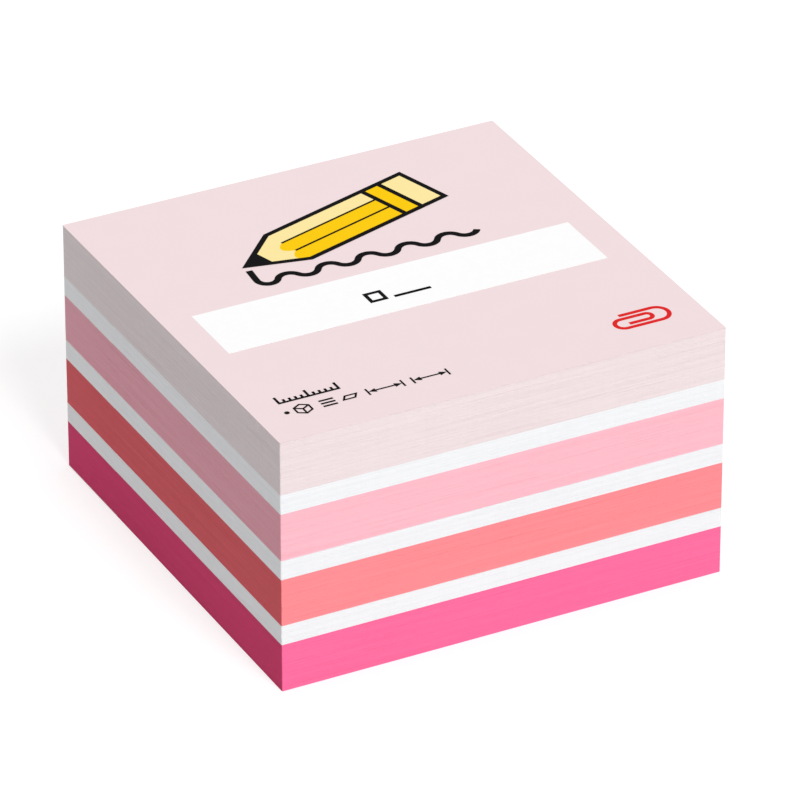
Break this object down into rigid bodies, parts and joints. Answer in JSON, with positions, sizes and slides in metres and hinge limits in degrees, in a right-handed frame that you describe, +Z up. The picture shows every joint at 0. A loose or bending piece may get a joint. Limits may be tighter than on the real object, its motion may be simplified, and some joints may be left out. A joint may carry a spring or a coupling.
{
  "type": "sticky note pad",
  "caption": "Square cube-shaped pad of sticky notes in banded pinks and white, gummed along one edge of every sheet, under a printed cover sheet.",
  "frame": {"origin": "middle of the pad's underside, where it rests on a desk", "axes": "+Z up through the pile of notes; +X along the print on the cover, from left to right as it is read; +Y from the free edge of the notes to their gummed edge"},
  "size_m": [0.076, 0.076, 0.0434],
  "materials": {
    "pale_pink_paper": "matte",
    "white_paper": "matte",
    "pink_paper": "matte",
    "coral_paper": "matte",
    "magenta_paper": "matte",
    "cover_paper": "matte",
    "gum": "satin"
  },
  "bodies": {
    "root": {"backing_sheet": "magenta_paper", "magenta_notes": "magenta_paper", "lower_white_notes": "white_paper", "coral_notes": "coral_paper", "middle_white_notes": "white_paper", "pink_notes": "pink_paper", "upper_white_notes": "white_paper", "pale_pink_notes": "pale_pink_paper", "cover_sheet": "cover_paper", "gum_under_magenta_notes": "gum", "gum_under_lower_white_notes": "gum", "gum_under_coral_notes": "gum", "gum_under_middle_white_notes": "gum", "gum_under_pink_notes": "gum", "gum_under_upper_white_notes": "gum", "gum_under_pale_pink_notes": "gum", "gum_under_cover_sheet": "gum"}
  },
  "joints": []
}
